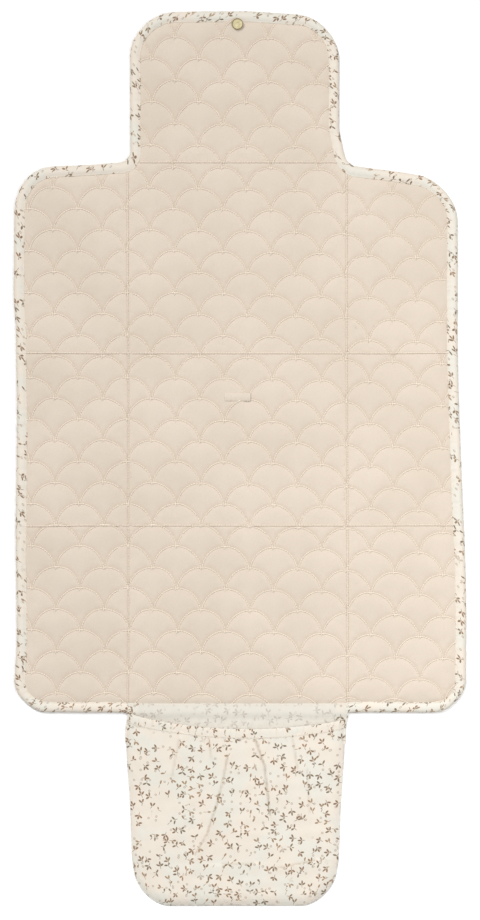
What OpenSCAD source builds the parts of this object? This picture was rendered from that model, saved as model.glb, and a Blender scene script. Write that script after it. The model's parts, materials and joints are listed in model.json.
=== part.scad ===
// Travel changing mat, lying open with its clean quilted face up.
// Three rows of quilted panels, a wing on each side, a head tab with a snap
// and a gathered nappy pocket at the foot.
// Origin: on the floor, under the middle of the open mat. +Y points to the head tab.

/* [Mat] */
// Overall width, across both wings
mat_w = 500; // [460:2:560]
// Space left between the wings when they are folded in
wing_meet_gap = 2; // [1:1:20]
// Thickness of the quilted panels and of their binding
mat_t = 5; // [4:0.5:8]
// Thickness of the face cloth and of the backing cloth
cloth_t = 0.5; // [0.3:0.1:0.8]
// Width of the binding strip along the edges
binding_w = 12; // [8:1:16]

/* [Lengths along the mat] */
// Head tab, from its fold to its end
tab_l = 168.5; // [140:0.5:200]
// Upper row, from the tab fold to the next fold
upper_l = 213.2; // [190:0.1:240]
// Middle row, between its two folds
middle_l = 192; // [180:1:220]
// Lower row, from its fold to the bound foot edge
lower_l = 209.8; // [190:0.1:230]
// Pocket, from the bound foot edge to its end
pocket_l = 216.5; // [180:0.5:220]

/* [Outline] */
// Width of the head tab
tab_w = 239; // [220:1:246]
// Radius of the head tab's end corners
tab_r = 52; // [30:1:80]
// Radius of the wings' upper corners
wing_top_r = 50; // [30:1:80]
// Radius of the wings' lower corners
wing_foot_r = 32; // [20:1:60]
// Radius of the hollow corners between the tab and the wings
shoulder_r = 18; // [14:1:20]
// Drop from the tab fold to the wings' upper edge, beside the tab
shoulder_drop = 3.5; // [2:0.5:5]
// Fall of the wings' upper edge away from the tab, in degrees
shoulder_slope = 7.5; // [0:0.5:12]

/* [Pocket] */
// Thickness of the flat pocket
pocket_t = 8; // [7:0.5:12]
// Thickness of the pocket's cloth panels, which are doubled and seamed
pocket_cloth_t = 1; // [0.6:0.1:1.5]
// Width of the pocket at its mouth
pocket_mouth_w = 245; // [220:1:248]
// Width of the pocket near its end
pocket_end_w = 234; // [200:1:240]
// Radius of the pocket's end corners
pocket_r = 40; // [20:1:60]
// Height of the elastic casing along the mouth
hem_w = 12; // [8:1:16]
// Distance from the foot edge of the mat to the pocket's gathered mouth
mouth_drop = 10; // [6:1:20]

/* [Snap and label] */
// Radius of the snap's discs
snap_r = 6.2; // [5:0.1:7]
// Radius of the stud's nub
nub_r = 1.9; // [1.5:0.1:2.5]
// Distance from the end of the tab to the snap's centre
snap_inset = 14.6; // [14.5:0.1:20]
// Width and height of the sewn label
label_size = [29, 9]; // [5:1:60]
// Distance from the middle of the mat up to the label's centre
label_y = 69.8; // [60:0.1:70]

/* [Hidden] */
$fn = 96;
gap = 0.3;          // space between neighbouring bodies at a fold
lay = 0.6;          // space between layers that are folded onto each other
far = 600;          // further than any edge of the mat
overlap = 0.05;     // how far a straight edge runs into the arc that it meets

mat_l = tab_l + upper_l + middle_l + lower_l + pocket_l;
tab_end_y = mat_l / 2;
tab_fold_y = tab_end_y - tab_l;
upper_fold_y = tab_fold_y - upper_l;
lower_fold_y = upper_fold_y - middle_l;
foot_y = lower_fold_y - lower_l;
pocket_end_y = -mat_l / 2;
wing_top_y = tab_fold_y - shoulder_drop;
wing_fold_x = (mat_w + wing_meet_gap) / 4;

// Heights of the fold axes: each fold lays its stack flat onto the stack before it.
wing_fold_z = mat_t + lay / 2;
wing_pile = 2 * wing_fold_z;
pocket_fold_z = (wing_pile + lay + pocket_t) / 2;
lower_fold_z = (wing_pile + lay + 2 * pocket_fold_z) / 2;
upper_fold_z = (wing_pile + lay + 2 * lower_fold_z) / 2;
tab_fold_z = (2 * upper_fold_z + lay + mat_t) / 2;

wadding_z = [cloth_t, mat_t - cloth_t];
snap_y = tab_end_y - snap_inset;
socket_h = 1.6;
cap_h = 1.2;
nub_h = 1.5;
flange_t = 0.8;
post_r = 2;
washer_r = 5;
washer_t = 0.5;
snap_clear = 0.3;
// The stud lies where the tab's socket lands when the mat is folded up.
stud_y = 2 * upper_fold_y - (2 * tab_fold_y - snap_y);
stud_flange_z = nub_h + flange_t;

mouth_y = foot_y - mouth_drop;
seam_w = 3;
elastic_t = 0.8;
elastic_w = hem_w - 4;
hem_t = 2;
label_t = 0.3;

// Every quilted panel: its name, its side (-1 left, 0 centre, 1 right) and its row from the head.
PANELS = [
    ["tab", 0, 0],
    ["centre_upper", 0, 1],
    ["centre_middle", 0, 2],
    ["centre_lower", 0, 3],
    ["left_upper", -1, 1],
    ["left_middle", -1, 2],
    ["left_lower", -1, 3],
    ["right_upper", 1, 1],
    ["right_middle", 1, 2],
    ["right_lower", 1, 3]
];
BOUND_PANELS = [for (p = PANELS) if (p[0] != "centre_middle") p];

cotton = [0.90, 0.84, 0.76];
batting = [0.97, 0.96, 0.94];
print_cotton = [0.93, 0.89, 0.82];
brass = [0.83, 0.74, 0.48];

// ---- Outline of the open mat, drawn in by inset all round ----

module rounded_corner(x, y, r) {
    translate([x, y]) circle(r);
}

// Height of the wings' upper edge at a distance x from the middle line.
function shoulder_y(x, inset) =
    wing_top_y - inset / cos(shoulder_slope) - (x - tab_w / 2) * tan(shoulder_slope);

// The part between the wings' edges, with its four outer corners round.
module body_outline(inset) {
    half = mat_w / 2 - inset;
    top_r = wing_top_r - inset;
    foot_r = wing_foot_r - inset;
    foot = foot_y + inset;
    top_x = half - top_r;
    top_y = shoulder_y(top_x, inset) - top_r / cos(shoulder_slope);
    rim_r = top_r - overlap;
    right = [
        [half - foot_r, foot],
        [half - foot_r, foot + foot_r],
        [half, foot + foot_r],
        [half, top_y],
        [top_x, top_y],
        [top_x + rim_r * sin(shoulder_slope), top_y + rim_r * cos(shoulder_slope)],
        [tab_w / 2 - inset - 1, shoulder_y(tab_w / 2 - inset - 1, inset)]
    ];
    left = [for (i = [len(right) - 1 : -1 : 0]) [-right[i][0], right[i][1]]];
    polygon(concat(right, left));
    for (side = [-1, 1]) {
        rounded_corner(side * top_x, top_y, top_r);
        rounded_corner(side * (half - foot_r), foot + foot_r, foot_r);
    }
}

module tab_outline(inset) {
    half = tab_w / 2 - inset;
    r = tab_r - inset;
    end = tab_end_y - inset;
    translate([-half, upper_fold_y]) square([2 * half, end - r - upper_fold_y]);
    translate([r - half, end - r - 1]) square([2 * (half - r), r + 1]);
    for (side = [-1, 1]) rounded_corner(side * (half - r), end - r, r);
}

// The hollow corner between the tab and a wing. It stops a few degrees short of
// where its arc would touch the straight edges, so that it leaves no slivers there.
module shoulder_outline(inset) {
    r = shoulder_r + inset;
    inner_x = tab_w / 2 - inset - 2;
    centre_x = tab_w / 2 + shoulder_r;
    centre_y = shoulder_y(centre_x, 0) + shoulder_r / cos(shoulder_slope);
    short_of = 4;
    top = centre_y - r * sin(short_of);
    end_x = centre_x - r * sin(shoulder_slope + short_of);
    end_y = centre_y - r * cos(shoulder_slope + short_of);
    for (side = [0, 1]) mirror([side, 0]) difference() {
        polygon([[inner_x, end_y - 2], [end_x, end_y - 2], [end_x, end_y], [centre_x, top], [inner_x, top]]);
        translate([centre_x, centre_y]) circle(r);
    }
}

module mat_outline(inset) {
    body_outline(inset);
    tab_outline(inset);
    shoulder_outline(inset);
}

// ---- Panels: the outline is cut into cells along the folds ----

function cell_x(side) =
    side < 0 ? [-far, -wing_fold_x - gap / 2] :
    side > 0 ? [wing_fold_x + gap / 2, far] :
    [-wing_fold_x + gap / 2, wing_fold_x - gap / 2];

function cell_y(side, row) =
    row == 0 ? [tab_fold_y + gap / 2, far] :
    row == 1 ? [upper_fold_y + gap / 2, side == 0 ? tab_fold_y - gap / 2 : far] :
    row == 2 ? [lower_fold_y + gap / 2, upper_fold_y - gap / 2] :
    [-far, lower_fold_y - gap / 2];

module cell(panel) {
    x = cell_x(panel[1]);
    y = cell_y(panel[1], panel[2]);
    translate([x[0], y[0]]) square([x[1] - x[0], y[1] - y[0]]);
}

// Holes for the snap's posts, and hollows for the discs that sit in the underside.
module snap_holes(panel) {
    if (panel[0] == "tab") {
        translate([0, snap_y, -1]) cylinder(r = post_r, h = mat_t + 2);
        translate([0, snap_y, -1]) cylinder(r = snap_r + snap_clear, h = 1 + cap_h);
    }
    if (panel[0] == "centre_middle") {
        translate([0, stud_y, -1]) cylinder(r = snap_r + snap_clear, h = 1 + stud_flange_z);
        translate([0, stud_y, 0]) cylinder(r = post_r, h = wadding_z[1]);
        translate([0, stud_y, wadding_z[1] - washer_t]) cylinder(r = washer_r, h = washer_t);
    }
}

module panel_layer(panel, bottom, top) {
    difference() {
        translate([0, 0, bottom]) linear_extrude(top - bottom) intersection() {
            mat_outline(binding_w);
            cell(panel);
        }
        snap_holes(panel);
    }
}

module cover(panel) {
    color(cotton) panel_layer(panel, wadding_z[1], mat_t);
}

module wadding(panel) {
    color(batting) panel_layer(panel, wadding_z[0], wadding_z[1]);
}

module backing(panel) {
    color(print_cotton) panel_layer(panel, 0, wadding_z[0]);
}

module binding(panel) {
    color(print_cotton) difference() {
        linear_extrude(mat_t) intersection() {
            difference() {
                mat_outline(0);
                mat_outline(binding_w);
            }
            cell(panel);
        }
        snap_holes(panel);
    }
}

// ---- Pocket ----

module pocket_outline(inset, top) {
    half = pocket_end_w / 2 - inset;
    mouth_half = pocket_mouth_w / 2 - inset;
    r = pocket_r - inset;
    end = pocket_end_y + inset;
    polygon([[-half, end + r], [half, end + r], [mouth_half, top], [-mouth_half, top]]);
    translate([r - half, end]) square([2 * (half - r), r + 1]);
    for (side = [-1, 1]) rounded_corner(side * (half - r), end + r, r);
}

module pocket_back() {
    color(print_cotton) linear_extrude(pocket_cloth_t) pocket_outline(0, foot_y - gap);
}

// Front panel with its raised side and end seams, open towards the mat.
// The side seams run on past the mouth, up to the foot edge.
module pocket_front() {
    front_top = mouth_y - hem_w;
    mouth_half = pocket_mouth_w / 2 - seam_w;
    wall_top = foot_y - gap;
    color(print_cotton) difference() {
        translate([0, 0, pocket_cloth_t]) linear_extrude(pocket_t - pocket_cloth_t) pocket_outline(0, wall_top);
        linear_extrude(pocket_t - pocket_cloth_t) pocket_outline(seam_w, wall_top + 1);
        translate([-mouth_half, front_top, 0]) cube([2 * mouth_half, wall_top + 1 - front_top, pocket_t + 1]);
    }
}

// Casing along the mouth, with a tunnel for the elastic.
module pocket_hem() {
    half = pocket_mouth_w / 2 - seam_w;
    tunnel_y = mouth_y - (hem_w + elastic_w) / 2;
    tunnel_z = pocket_t - (hem_t + elastic_t) / 2;
    color(print_cotton) difference() {
        translate([-half, mouth_y - hem_w, pocket_t - hem_t]) cube([2 * half, hem_w, hem_t]);
        translate([-half - 1, tunnel_y, tunnel_z]) cube([2 * half + 2, elastic_w, elastic_t]);
    }
}

module pocket_elastic() {
    half = pocket_mouth_w / 2 - seam_w - 2;
    tunnel_y = mouth_y - (hem_w + elastic_w) / 2;
    tunnel_z = pocket_t - (hem_t + elastic_t) / 2;
    color("white") translate([-half, tunnel_y, tunnel_z]) cube([2 * half, elastic_w, elastic_t]);
}

// ---- Snap fastener and label ----

// Dished disc on the face of the tab, with a rolled rim and the recess that grips the stud.
module tab_snap_socket() {
    recess_h = 1.3;
    dish_h = 0.5;
    rim_w = 1.1;
    color(brass) translate([0, snap_y, mat_t]) difference() {
        cylinder(r = snap_r, h = socket_h);
        translate([0, 0, socket_h - dish_h]) cylinder(r = snap_r - rim_w, h = socket_h);
        translate([0, 0, socket_h - recess_h]) cylinder(r = nub_r + snap_clear, h = socket_h);
    }
}

// Cap on the back of the tab; its post runs through the quilt to the socket.
module tab_snap_cap() {
    color(brass) translate([0, snap_y, 0]) {
        cylinder(r = snap_r, h = cap_h);
        cylinder(r = post_r, h = mat_t);
    }
}

// Stud in the underside of the middle row; its nub points down.
module back_snap_stud() {
    color(brass) translate([0, stud_y, 0]) {
        cylinder(r = nub_r, h = nub_h + 0.1);
        translate([0, 0, nub_h]) cylinder(r = snap_r, h = flange_t);
        translate([0, 0, nub_h]) cylinder(r = post_r, h = wadding_z[1] - nub_h);
    }
}

// Washer that holds the stud's post, under the face cloth.
module back_snap_washer() {
    color(brass) translate([0, stud_y, wadding_z[1] - washer_t]) difference() {
        cylinder(r = washer_r, h = washer_t);
        translate([0, 0, -1]) cylinder(r = post_r, h = washer_t + 2);
    }
}

module label() {
    color(cotton) translate([-label_size[0] / 2, label_y - label_size[1] / 2, mat_t])
        cube([label_size[0], label_size[1], label_t]);
}

for (p = PANELS) {
    cover(p);
    wadding(p);
    backing(p);
}
for (p = BOUND_PANELS) {
    binding(p);
}
pocket_back();
pocket_front();
pocket_hem();
pocket_elastic();
tab_snap_socket();
tab_snap_cap();
back_snap_stud();
back_snap_washer();
label();
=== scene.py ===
"""A foldable quilted travel changing mat, lying open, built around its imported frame."""

import json
import math

import bpy
import numpy as np
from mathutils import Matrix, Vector
from mathutils.bvhtree import BVHTree
from mathutils.geometry import delaunay_2d_cdt


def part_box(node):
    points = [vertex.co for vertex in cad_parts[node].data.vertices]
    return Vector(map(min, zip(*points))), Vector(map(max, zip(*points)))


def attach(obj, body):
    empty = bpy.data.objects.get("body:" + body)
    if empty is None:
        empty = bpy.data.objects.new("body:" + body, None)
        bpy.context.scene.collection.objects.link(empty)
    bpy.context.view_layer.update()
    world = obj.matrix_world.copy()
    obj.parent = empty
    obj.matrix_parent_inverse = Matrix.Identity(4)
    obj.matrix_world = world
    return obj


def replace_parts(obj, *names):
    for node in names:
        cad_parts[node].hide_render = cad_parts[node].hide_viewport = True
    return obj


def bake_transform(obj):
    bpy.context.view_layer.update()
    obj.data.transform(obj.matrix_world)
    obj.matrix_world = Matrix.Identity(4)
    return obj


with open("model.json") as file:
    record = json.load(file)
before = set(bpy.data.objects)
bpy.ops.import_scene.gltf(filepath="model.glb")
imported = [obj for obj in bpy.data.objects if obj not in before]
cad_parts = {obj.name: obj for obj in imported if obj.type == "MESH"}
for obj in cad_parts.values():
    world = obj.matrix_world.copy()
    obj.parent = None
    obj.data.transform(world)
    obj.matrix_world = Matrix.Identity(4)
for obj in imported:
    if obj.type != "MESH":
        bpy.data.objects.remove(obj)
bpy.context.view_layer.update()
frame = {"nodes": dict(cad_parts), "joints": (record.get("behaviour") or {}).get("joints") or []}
MM = 0.001

# ---- Places and sizes taken from the frame ----

JOINT_POS = {j["name"]: Vector(j["pos_m"]) for j in frame["joints"]}
TAB_Y = JOINT_POS["tab_fold"].y
UPPER_Y = JOINT_POS["upper_row_fold"].y
LOWER_Y = JOINT_POS["lower_row_fold"].y
POCKET_Y = JOINT_POS["pocket_fold"].y
WING_X = JOINT_POS["right_upper_wing_fold"].x
HALF_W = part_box("right_upper_binding")[1].x
END_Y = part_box("tab_binding")[1].y
FOOT_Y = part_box("centre_lower_binding")[0].y
BINDING_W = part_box("centre_lower_binding")[1].y - FOOT_Y
POCKET_END_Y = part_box("pocket_back")[0].y
POCKET_MOUTH_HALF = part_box("pocket_back")[1].x


def middle(node):
    low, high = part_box(node)
    return (low + high) / 2


SNAP = middle("tab_snap_socket")
STUD = middle("back_snap_stud")
SNAP_R = (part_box("tab_snap_socket")[1].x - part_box("tab_snap_socket")[0].x) / 2

# ---- The mat's outline ----

TAB_HALF = 119.5 * MM
TAB_R = 52 * MM
WING_TOP_R = 50 * MM
WING_FOOT_R = 32 * MM
SHOULDER_R = 18 * MM
SHOULDER_Y = TAB_Y - 3.5 * MM
SHOULDER_SLOPE = math.radians(7.5)
RIM_STEP = 2 * MM
SEAM_STEP = 2.4 * MM

# The quilting: rows of half circles that stand on the tops of the row below.
SCALE_PITCH = 54.0 * MM
SCALE_ROW = 23.5 * MM
SCALE_R = 26.2 * MM
SCALE_X = 38.9 * MM
SCALE_Y = 63.5 * MM
SCALE_TILT = 0.023
SCALE_LEAN = 0.008
SCALE_SAG = 3.0 * MM
SCALE_SAG_AT = 230 * MM
SCALE_TAB_STRETCH = 0.027
SCALE_TAB_PINCH = 0.035
SCALE_WOBBLE = 0.55 * MM

# Heights of the quilted cloth over the floor.
Z_PRESSED = 1.9 * MM
Z_SEAM = 3.3 * MM
Z_PUFF = 4.9 * MM
Z_MID_LOW = 1.2 * MM
Z_MID_HIGH = 1.3 * MM
Z_GROOVE = 0.55 * MM

# The cloth simulation of the puffs.
SIM_STEP = 2.3 * MM
SIM_START = 0.7
SIM_FRAMES = 13
SIM_SETTINGS = {
    "quality": 4,
    "mass": 0.12,
    "tension_stiffness": 12,
    "compression_stiffness": 12,
    "shear_stiffness": 4,
    "bending_stiffness": 0.05,
    "shrink_min": -0.008,
    "use_pressure": True,
    "uniform_pressure_force": 60,
    "vertex_group_mass": "sewn",
}

# Half the width of the cloth that bends at each fold.
ROW_BEND = 10 * MM
WING_BEND = 6 * MM
POCKET_BEND = 8 * MM
EDGE_TUCK = 5 * MM
# The stitched channel of a wing fold runs just inside the line that it turns on.
WING_SEAM_X = WING_X - 3.2 * MM


def arc(cx, cy, r, start, end):
    steps = max(4, round(abs(end - start) * r / RIM_STEP))
    angles = np.linspace(start, end, steps + 1)
    return np.column_stack([cx + r * np.cos(angles), cy + r * np.sin(angles)])


def half_outline():
    """The right half of the outline, from the middle of the foot to the middle of the tab's end."""
    slope = SHOULDER_SLOPE
    top_x = HALF_W - WING_TOP_R

    def shoulder_y(x):
        return SHOULDER_Y - (x - TAB_HALF) * math.tan(slope)

    top_y = shoulder_y(top_x) - WING_TOP_R / math.cos(slope)
    hollow_x = TAB_HALF + SHOULDER_R
    hollow_y = shoulder_y(hollow_x) + SHOULDER_R / math.cos(slope)
    quarter = math.pi / 2
    return np.vstack([
        [(0, FOOT_Y)],
        arc(HALF_W - WING_FOOT_R, FOOT_Y + WING_FOOT_R, WING_FOOT_R, -quarter, 0),
        arc(top_x, top_y, WING_TOP_R, 0, quarter - slope),
        arc(hollow_x, hollow_y, SHOULDER_R, 3 * quarter - slope, 2 * quarter),
        arc(TAB_HALF - TAB_R, END_Y - TAB_R, TAB_R, 0, quarter),
        [(0, END_Y)],
    ])


def lengths_along(points):
    """Length along a line of points from its start to each point."""
    return np.concatenate([[0], np.cumsum(np.hypot(*np.diff(points, axis=0).T))])


def resampled(points, step):
    """The same line with points every step, and the last point kept."""
    along = lengths_along(points)
    count = max(1, round(along[-1] / step))
    places = np.linspace(0, along[-1], count + 1)
    return np.column_stack([np.interp(places, along, points[:, k]) for k in range(points.shape[1])])


def rim_path():
    """Points around the mat, counter-clockwise from the middle of the foot, and their outward normals."""
    right = resampled(half_outline(), RIM_STEP)
    left = right[::-1][1:-1] * (-1, 1)
    points = np.vstack([right, left])
    ahead = np.roll(points, -1, axis=0) - np.roll(points, 1, axis=0)
    normals = np.column_stack([ahead[:, 1], -ahead[:, 0]])
    return points, normals / np.hypot(*normals.T)[:, None]


RIM, RIM_NORMAL = rim_path()


def inset_outline(distance):
    return RIM - RIM_NORMAL * distance


def distance_to(line, xy):
    """Distance from each place to the nearest point of a line, found in blocks to save memory."""
    block = 4000
    nearest = np.empty(len(xy))
    for start in range(0, len(xy), block):
        part = xy[start:start + block]
        gaps = part[:, None, :] - line[None, :, :]
        nearest[start:start + block] = np.sqrt((gaps ** 2).sum(2).min(1))
    return nearest


def rim_distance(xy):
    """How far inside the outline each place lies."""
    return distance_to(RIM, xy)


def line_of_points(axis, value, start, end, step):
    """Places every step along a straight line, on which the coordinate of this axis keeps one value."""
    along = np.arange(start, end, step)
    points = np.full((len(along), 2), float(value))
    points[:, 1 - axis] = along
    return points


# ---- The quilting pattern ----

def sewn_place(xy):
    """Where the pattern sees a point: moved as the cloth is laid, with the wander of hand-fed sewing."""
    wobble = [smooth_noise(xy, 34 * MM, seed, 8) for seed in (14, 15)]
    return lay_of_cloth(xy) + SCALE_WOBBLE * np.column_stack(wobble)


def to_pattern(xy):
    laid = sewn_place(xy)
    on_tab = ramp(laid[:, 1], TAB_Y, TAB_Y + 60 * MM)
    along = laid[:, 0] * (1 + SCALE_TAB_PINCH * on_tab) - SCALE_X
    up = laid[:, 1] - SCALE_Y
    up = up - SCALE_TAB_STRETCH * np.clip(laid[:, 1] - TAB_Y, 0, None)
    sag = SCALE_SAG * (along / SCALE_SAG_AT) ** 2
    return along + SCALE_LEAN * up, up + SCALE_TILT * along + sag


def from_pattern(u, v):
    along, up = u, v
    for _ in range(4):
        sag = SCALE_SAG * (along / SCALE_SAG_AT) ** 2
        along, up = u - SCALE_LEAN * up, v - SCALE_TILT * along - sag
    on_tab = np.clip(up + SCALE_Y - TAB_Y, 0, None)
    laid_y = up + SCALE_Y + on_tab * SCALE_TAB_STRETCH
    laid_x = (along + SCALE_X) / (1 + SCALE_TAB_PINCH * ramp(laid_y, TAB_Y, TAB_Y + 60 * MM))
    laid = np.column_stack([laid_x, laid_y])
    xy = laid
    for _ in range(3):
        xy = xy + laid - sewn_place(xy)
    return xy


def scale_gap(xy):
    """Distance to the nearest quilting arc, below zero on the inner side of its curve."""
    u, v = to_pattern(xy)
    row = np.floor(v / SCALE_ROW)
    nearest = np.full(len(u), SCALE_R)
    for step in (1, 0, -1, -2):
        shift = np.where(np.mod(row + step, 2) == 0, 0, SCALE_PITCH / 2)
        centre = np.round((u - shift) / SCALE_PITCH) * SCALE_PITCH + shift
        above = v - (row + step) * SCALE_ROW
        gap = np.hypot(u - centre, above) - SCALE_R
        closer = (above >= -0.4 * MM) & (np.abs(gap) < np.abs(nearest))
        nearest = np.where(closer, gap, nearest)
    return nearest


def scale_lines(step, offset=0.0):
    """Points along every quilting arc, moved outward by offset, with their directions."""
    places, headings = [], []
    columns = range(-7, 7)
    rows = range(-16, 20)
    angles = np.arange(0, math.pi, step / SCALE_R) + step / SCALE_R / 2
    angles = angles[angles < math.pi]
    for j in rows:
        shift = SCALE_PITCH / 2 if j % 2 else 0.0
        for i in columns:
            r = SCALE_R + offset
            u = i * SCALE_PITCH + shift + r * np.cos(angles)
            v = j * SCALE_ROW + r * np.sin(angles)
            places.append(from_pattern(u, v))
            headings.append(np.column_stack([-np.sin(angles), np.cos(angles)]))
    return np.vstack(places), np.vstack(headings)


def fold_distance(xy):
    """Distances to the nearest stitched line across the mat, and to the nearest one along it."""
    x, y = np.abs(xy[:, 0]), xy[:, 1]
    across = np.minimum(np.abs(y - UPPER_Y), np.abs(y - LOWER_Y))
    across = np.minimum(across, np.where(x < WING_X, np.abs(y - TAB_Y), 1))
    along = np.where(y < TAB_Y, np.abs(x - WING_SEAM_X), 1)
    return across, along


# ---- Smooth noise, the same on every run ----

def smooth_noise(xy, size, seed, waves=10):
    """Sum of sines in random directions, about -1 to 1, with features about this size."""
    rng = np.random.default_rng(seed)
    total = np.zeros(len(xy))
    for _ in range(waves):
        heading = rng.uniform(0, math.tau)
        pace = math.tau / (size * rng.uniform(0.7, 1.8))
        phase = rng.uniform(0, math.tau)
        along = xy[:, 0] * math.cos(heading) + xy[:, 1] * math.sin(heading)
        total += np.sin(along * pace + phase)
    return total / math.sqrt(waves) / 1.4


def ramp(value, low, high):
    """0 at low and 1 at high, with a smooth rise between. High may be the smaller of the two."""
    t = np.clip((value - low) / (high - low), 0, 1)
    return t * t * (3 - 2 * t)


def rounded(distance, reach):
    """0 at a seam, rising steeply and levelling out at reach."""
    t = np.clip(distance / reach, 0, 1)
    return (1 - (1 - t) ** 2) ** 0.65


# How the mat lies out of true. Each row is a pull in mm along one axis, which grows from nothing to its
# full length between two places across the mat and between two along it, also in mm.
# A pull on both sides is mirrored: across the mat it goes outward, or inward where it is negative.
TAB_MM, FOOT_MM, HALF_MM, POCKET_END_MM = (length / MM for length in (TAB_Y, FOOT_Y, HALF_W, POCKET_END_Y))
ANYWHERE = None
PULLS = (
    # axis, pull, across the mat, along the mat, both sides
    (0, -2.7, ANYWHERE, (TAB_MM + 5, TAB_MM + 40), False),
    (0, 2.2, (-50, -118), (TAB_MM + 5, TAB_MM + 40), False),
    (0, -3.0, (50, 118), (TAB_MM + 5, TAB_MM + 40), False),
    (1, -2.6, (10, 70), (400, 480), False),
    (1, 5.5, (-108, -140), (200, 320), False),
    (1, 5.6, (-135, -235), (200, 320), False),
    (1, 1.0, (108, 140), (200, 320), False),
    (1, -3.0, (200, 245), (200, 320), False),
    (0, 3.2, (-90, -240), (190, 140), False),
    (0, -1.92, (-90, -240), (-200, -250), False),
    (0, -4.3, (90, 240), ANYWHERE, False),
    (0, 9.2, (90, 240), (150, -190), False),
    (1, 1.2, (100, 140), (-200, FOOT_MM), True),
    (0, -3.4, (212, HALF_MM), (-246, FOOT_MM), True),
    (1, 3.4, (212, HALF_MM), (-246, FOOT_MM), True),
    (0, -2.6, ANYWHERE, (FOOT_MM, FOOT_MM - 20), False),
    (0, -2.3, (50, 112), (-320, -400), True),
    (0, -5.5, (40, 110), (-440, -490), True),
    (1, 2.4, ANYWHERE, (-470, POCKET_END_MM), False),
)
TAB_ARCH = 2.5 * MM
WAVER = ((0.7 * MM, 130 * MM, 3), (0.8 * MM, 110 * MM, 4))


def lay_of_cloth(xy):
    """Where each place of the true mat comes to lie."""
    x, y = xy[:, 0], xy[:, 1]
    moves = np.zeros((len(xy), 2))
    for axis, pull, across, along, both_sides in PULLS:
        move = np.full(len(xy), pull * MM)
        if across:
            move = move * ramp(np.abs(x) if both_sides else x, across[0] * MM, across[1] * MM)
        if along:
            move = move * ramp(y, along[0] * MM, along[1] * MM)
        if both_sides and axis == 0:
            move = move * np.sign(x)
        moves[:, axis] += move
    corner = np.clip(np.abs(x) / TAB_HALF, 0, 1) ** 2
    moves[:, 1] -= TAB_ARCH * corner * ramp(y, 440 * MM, END_Y)
    on_wing = ramp(np.abs(x), WING_X + 6 * MM, HALF_W)
    for axis, (depth, size, seed) in enumerate(WAVER):
        moves[:, axis] += depth * on_wing * smooth_noise(xy, size, seed, 4)
    return xy + moves


# ---- Heights of the quilt's two faces ----

def near(xy, place, inner, outer):
    """1 within inner of a place, 0 beyond outer."""
    gap = np.hypot(xy[:, 0] - place.x, xy[:, 1] - place.y)
    return 1 - ramp(gap, inner, outer)


def softness(xy):
    """1 on a puff and 0 on a seam or fold line; the second value is 0 under the binding's edge."""
    across, along = fold_distance(xy)
    seam = np.minimum(np.abs(scale_gap(xy)), np.minimum(across + 1.2 * MM, along))
    edge = rounded(rim_distance(xy) - BINDING_W + 1 * MM, 7 * MM)
    return rounded(seam, 7.5 * MM), edge


def base_height(xy):
    """The cover's height without its puffs: level at the seams, pressed down under the binding's edge."""
    edge = softness(xy)[1]
    return Z_PRESSED + edge * (Z_SEAM - Z_PRESSED)


def drawn_puffs(xy):
    scale, edge = softness(xy)
    uneven = 1 + 0.10 * smooth_noise(xy, 45 * MM, 11)
    crease = 0.16 * MM * smooth_noise(xy * (1, 0.8), 9 * MM, 12, 14)
    return edge * scale * ((Z_PUFF - 0.35 * MM - Z_SEAM) * uneven + crease)


def face_height(xy):
    """The cover's height, with its puffs, the wing folds' grooves and level patches round the snaps."""
    z = base_height(xy) + PUFFS(xy)
    edge = softness(xy)[1]
    z = z - 0.35 * MM * edge * np.exp(-((fold_distance(xy)[1] / (1.5 * MM)) ** 2))
    over_snap = np.maximum(near(xy, SNAP, 5 * MM, 12 * MM), near(xy, STUD, 6 * MM, 11 * MM))
    z = z * (1 - over_snap) + (Z_PUFF - 0.1 * MM) * over_snap
    return np.clip(z, Z_PRESSED, Z_PUFF)


def back_height(xy):
    """The underside's height: grooved along the seams, and pulled in round the snaps."""
    scale, edge = softness(xy)
    z = Z_GROOVE * (1 - edge * (0.25 + 0.75 * scale))
    pinch = np.maximum(near(xy, STUD, 6.5 * MM, 11 * MM), near(xy, SNAP, 6.5 * MM, 11 * MM))
    return z * (1 - pinch) + 0.95 * MM * pinch


# ---- Meshes ----

def unrolled(value, fold, half, height):
    """Extra length that the back of a fold gains when it is closed, up to each place across it."""
    t = np.clip((value - fold + half) / (2 * half), 0, 1)
    return math.pi * height * t * t * (3 - 2 * t)


def back_cloth(places, bends_across):
    """Where each point of the backing lies on its cloth, so that closed folds don't smear the print."""
    x, y = places[:, 0], places[:, 1]
    cloth = np.column_stack([x, y, np.zeros(len(x))])
    cloth[:, 0] += np.sign(x) * unrolled(np.abs(x), WING_X, WING_BEND, JOINT_POS["left_upper_wing_fold"].z)
    if bends_across:
        for joint in ("tab_fold", "upper_row_fold", "lower_row_fold"):
            cloth[:, 1] += unrolled(y, JOINT_POS[joint].y, ROW_BEND, JOINT_POS[joint].z)
        pocket_joint = JOINT_POS["pocket_fold"]
        cloth[:, 1] += unrolled(y, pocket_joint.y, POCKET_BEND, pocket_joint.z)
    return cloth


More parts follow.
